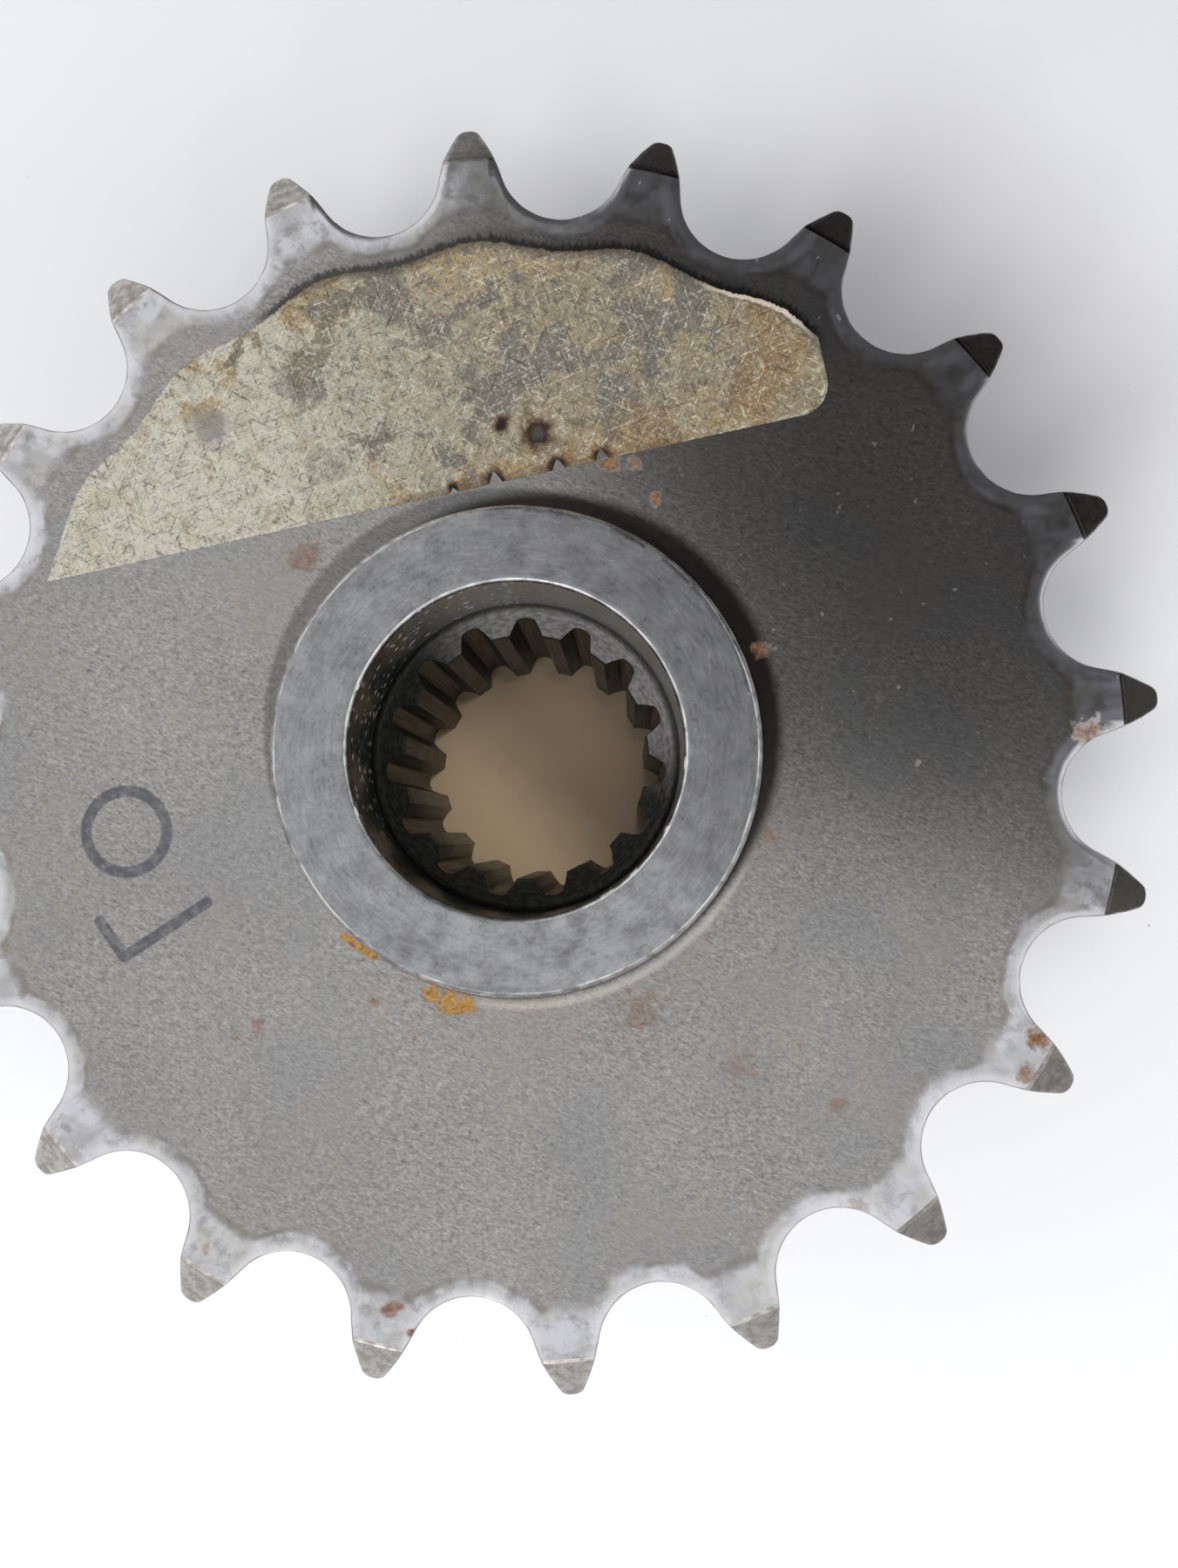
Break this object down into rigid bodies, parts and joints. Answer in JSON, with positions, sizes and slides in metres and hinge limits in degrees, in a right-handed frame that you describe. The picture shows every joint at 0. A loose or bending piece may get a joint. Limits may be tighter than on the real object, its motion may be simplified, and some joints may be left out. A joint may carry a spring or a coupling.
{
  "type": "splined roller chain sprocket",
  "caption": "Steel roller chain sprocket: a thick toothed disc on a long hub with a short front boss, a counterbore and an internally splined bore.",
  "frame": {"origin": "on the bore axis, in the plane of the hub's rear end face, at the bottom of the part as it stands on its hub", "axes": "+Z along the bore axis from the rear end of the hub towards the front boss, +X through the middle of one tooth"},
  "size_m": [0.2606, 0.2606, 0.1],
  "materials": {
    "plate_steel": "ground steel with a fine matt grain, heat tinted round the hardened teeth, a few rust specks",
    "hub_steel": "fine turned steel, oiled, bright at the chamfers and dark in the bore",
    "weld_steel": "rippled weld metal with a thin oxide skin",
    "label_paper": "matt fibrous paper, oil stained, torn and scorched"
  },
  "bodies": {
    "root": {"toothed_plate": "plate_steel", "splined_hub": "hub_steel", "weld_bead": "weld_steel", "paper_label": "label_paper"}
  },
  "joints": []
}
